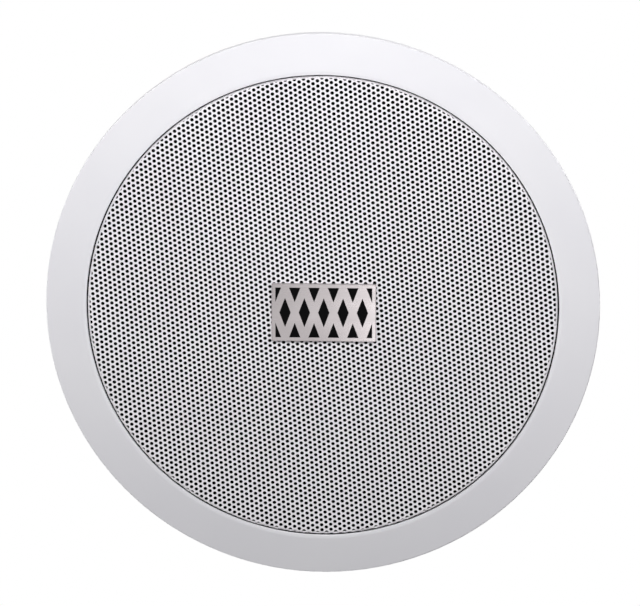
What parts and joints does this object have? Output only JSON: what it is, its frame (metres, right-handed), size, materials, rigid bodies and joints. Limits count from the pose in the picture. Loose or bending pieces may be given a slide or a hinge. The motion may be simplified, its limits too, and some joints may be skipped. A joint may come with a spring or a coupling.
{
  "type": "in-ceiling loudspeaker",
  "caption": "Round white in-ceiling loudspeaker with a flat bezel, domed perforated grille, dual-cone driver, line transformer and swing-out ceiling clamps.",
  "frame": {"origin": "centre of the spigot on the plane of the bezel's back face, which seats on the underside of the ceiling", "axes": "+Z up into the ceiling void along the driver's axis, the grille faces -Z; +X is to the right and -Y is up in the picture"},
  "size_m": [0.23, 0.23, 0.0709],
  "materials": {
    "white_abs": "satin moulded",
    "white_abs_dog": "moulded",
    "white_powder_coat": "powder coated",
    "black_cloth": "woven",
    "black_foam": "closed-cell foam, matt",
    "satin_badge_metal": "brushed satin",
    "black_enamel": "gloss",
    "black_painted_steel": "satin",
    "gasket_board": "matt",
    "zinc_screw": "zinc plated",
    "black_rubber": "matt",
    "black_paper": "pulp",
    "grey_paper": "pulp",
    "polyimide": "film",
    "copper_wire": "lacquered wire",
    "amber_cloth": "impregnated cloth",
    "zinc_plate": "zinc plated",
    "ferrite": "ground",
    "phenolic_board": "phenolic",
    "tinned_brass": "tinned",
    "core_steel": "laminated",
    "black_nylon": "moulded",
    "yellow_tape": "tape",
    "pale_nylon": "moulded",
    "brass": "turned"
  },
  "bodies": {
    "frame": {"bezel_ring": "white_abs", "mounting_frame": "white_abs", "grille_seal": "black_foam", "grille": "white_powder_coat", "dust_cloth": "black_cloth", "badge_plate": "satin_badge_metal", "badge_inlay": "black_enamel", "basket": "black_painted_steel", "driver_gasket": "gasket_board", "driver_screws": "zinc_screw", "surround": "black_rubber", "spider": "amber_cloth", "top_plate": "zinc_plate", "magnet": "ferrite", "yoke": "zinc_plate", "terminal_board": "phenolic_board", "board_rivets": "zinc_screw", "solder_tags": "tinned_brass", "transformer_core": "core_steel", "transformer_bobbin": "black_nylon", "transformer_winding": "yellow_tape", "transformer_bracket": "zinc_plate", "transformer_screws": "zinc_screw", "terminal_block": "pale_nylon", "terminal_tubes": "brass", "terminal_screws": "zinc_screw", "block_screws": "zinc_screw"},
    "cone_assembly": {"cone": "black_paper", "whizzer_cone": "grey_paper", "dust_cap": "black_paper", "coil_former": "polyimide", "voice_coil": "copper_wire"},
    "clamp_screw_1": {"clamp_screw_1": "zinc_screw"},
    "clamp_dog_1": {"clamp_dog_1": "white_abs_dog"},
    "clamp_screw_2": {"clamp_screw_2": "zinc_screw"},
    "clamp_dog_2": {"clamp_dog_2": "white_abs_dog"},
    "clamp_screw_3": {"clamp_screw_3": "zinc_screw"},
    "clamp_dog_3": {"clamp_dog_3": "white_abs_dog"},
    "clamp_screw_4": {"clamp_screw_4": "zinc_screw"},
    "clamp_dog_4": {"clamp_dog_4": "white_abs_dog"}
  },
  "joints": [
    {"name": "cone_travel", "type": "slide", "parent": "frame", "child": "cone_assembly", "axis": [0, 0, -1], "range_m": [-0.0025, 0.0025], "stiffness_N_per_m": 2300, "deforming": ["surround", "spider"]},
    {"name": "clamp_swing_1", "type": "hinge", "parent": "frame", "child": "clamp_screw_1", "pos_m": [0.06505, 0.06505, 0], "axis": [0, 0, -1], "range_deg": [0, 90]},
    {"name": "clamp_travel_1", "type": "slide", "parent": "clamp_screw_1", "child": "clamp_dog_1", "axis": [0, 0, -1], "range_m": [0, 0.0248]},
    {"name": "clamp_swing_2", "type": "hinge", "parent": "frame", "child": "clamp_screw_2", "pos_m": [-0.06505, 0.06505, 0], "axis": [0, 0, -1], "range_deg": [0, 90]},
    {"name": "clamp_travel_2", "type": "slide", "parent": "clamp_screw_2", "child": "clamp_dog_2", "axis": [0, 0, -1], "range_m": [0, 0.0248]},
    {"name": "clamp_swing_3", "type": "hinge", "parent": "frame", "child": "clamp_screw_3", "pos_m": [-0.06505, -0.06505, 0], "axis": [0, 0, -1], "range_deg": [0, 90]},
    {"name": "clamp_travel_3", "type": "slide", "parent": "clamp_screw_3", "child": "clamp_dog_3", "axis": [0, 0, -1], "range_m": [0, 0.0248]},
    {"name": "clamp_swing_4", "type": "hinge", "parent": "frame", "child": "clamp_screw_4", "pos_m": [0.06505, -0.06505, 0], "axis": [0, 0, -1], "range_deg": [0, 90]},
    {"name": "clamp_travel_4", "type": "slide", "parent": "clamp_screw_4", "child": "clamp_dog_4", "axis": [0, 0, -1], "range_m": [0, 0.0248]}
  ]
}
